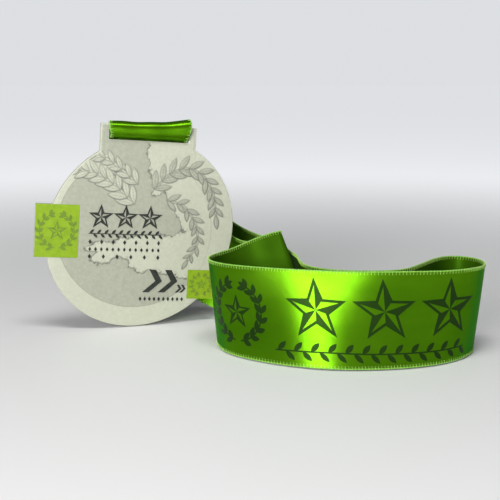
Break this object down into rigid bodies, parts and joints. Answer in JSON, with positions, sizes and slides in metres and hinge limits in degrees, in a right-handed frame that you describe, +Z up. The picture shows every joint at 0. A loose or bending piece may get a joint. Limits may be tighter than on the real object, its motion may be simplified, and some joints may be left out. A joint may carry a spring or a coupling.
{
  "type": "finisher medal",
  "caption": "Oval printed metal medal with a slotted tab and two side panels, hanging from a wide satin ribbon loop that stands on its edge beside it.",
  "frame": {"origin": "middle of the object's box, on the surface that it stands on", "axes": "+Z up, the plate's face looks along -Y, +X along the plate towards the ribbon loop"},
  "size_m": [0.1757, 0.1412, 0.0934],
  "materials": {
    "plate": "matt pale sage coat",
    "field_print": "matt grey-green print",
    "relief_print": "matt raised print",
    "dark_print": "matt black ink",
    "green_print": "satin lime green ink",
    "olive_print": "satin olive ink",
    "ribbon": "green satin weave",
    "stitching": "green satin with sewn thread"
  },
  "bodies": {
    "ribbon": {"ribbon_bar_wrap": "ribbon", "ribbon_rear_strand_in": "ribbon", "ribbon_fold": "ribbon", "ribbon_inner_band": "ribbon", "ribbon_left_turn": "ribbon", "ribbon_front_left": "ribbon", "ribbon_front_right": "ribbon", "ribbon_right_turn": "ribbon", "ribbon_return_band": "ribbon", "ribbon_cross_band": "ribbon", "ribbon_rear_strand_out": "ribbon", "ribbon_seam": "stitching"},
    "medal": {"medal_plate": "plate", "printed_field": "field_print", "raised_land": "relief_print", "raised_laurel": "relief_print", "printed_marks": "dark_print", "left_panel": "green_print", "right_panel": "green_print", "panel_stars": "olive_print"}
  },
  "joints": [
    {"name": "medal_swing", "type": "hinge", "parent": "ribbon", "child": "medal", "pos_m": [-0.03544, 0.0308, 0.08928], "axis": [-0.9976, 0, 0.0698], "range_deg": [0, 20]}
  ]
}
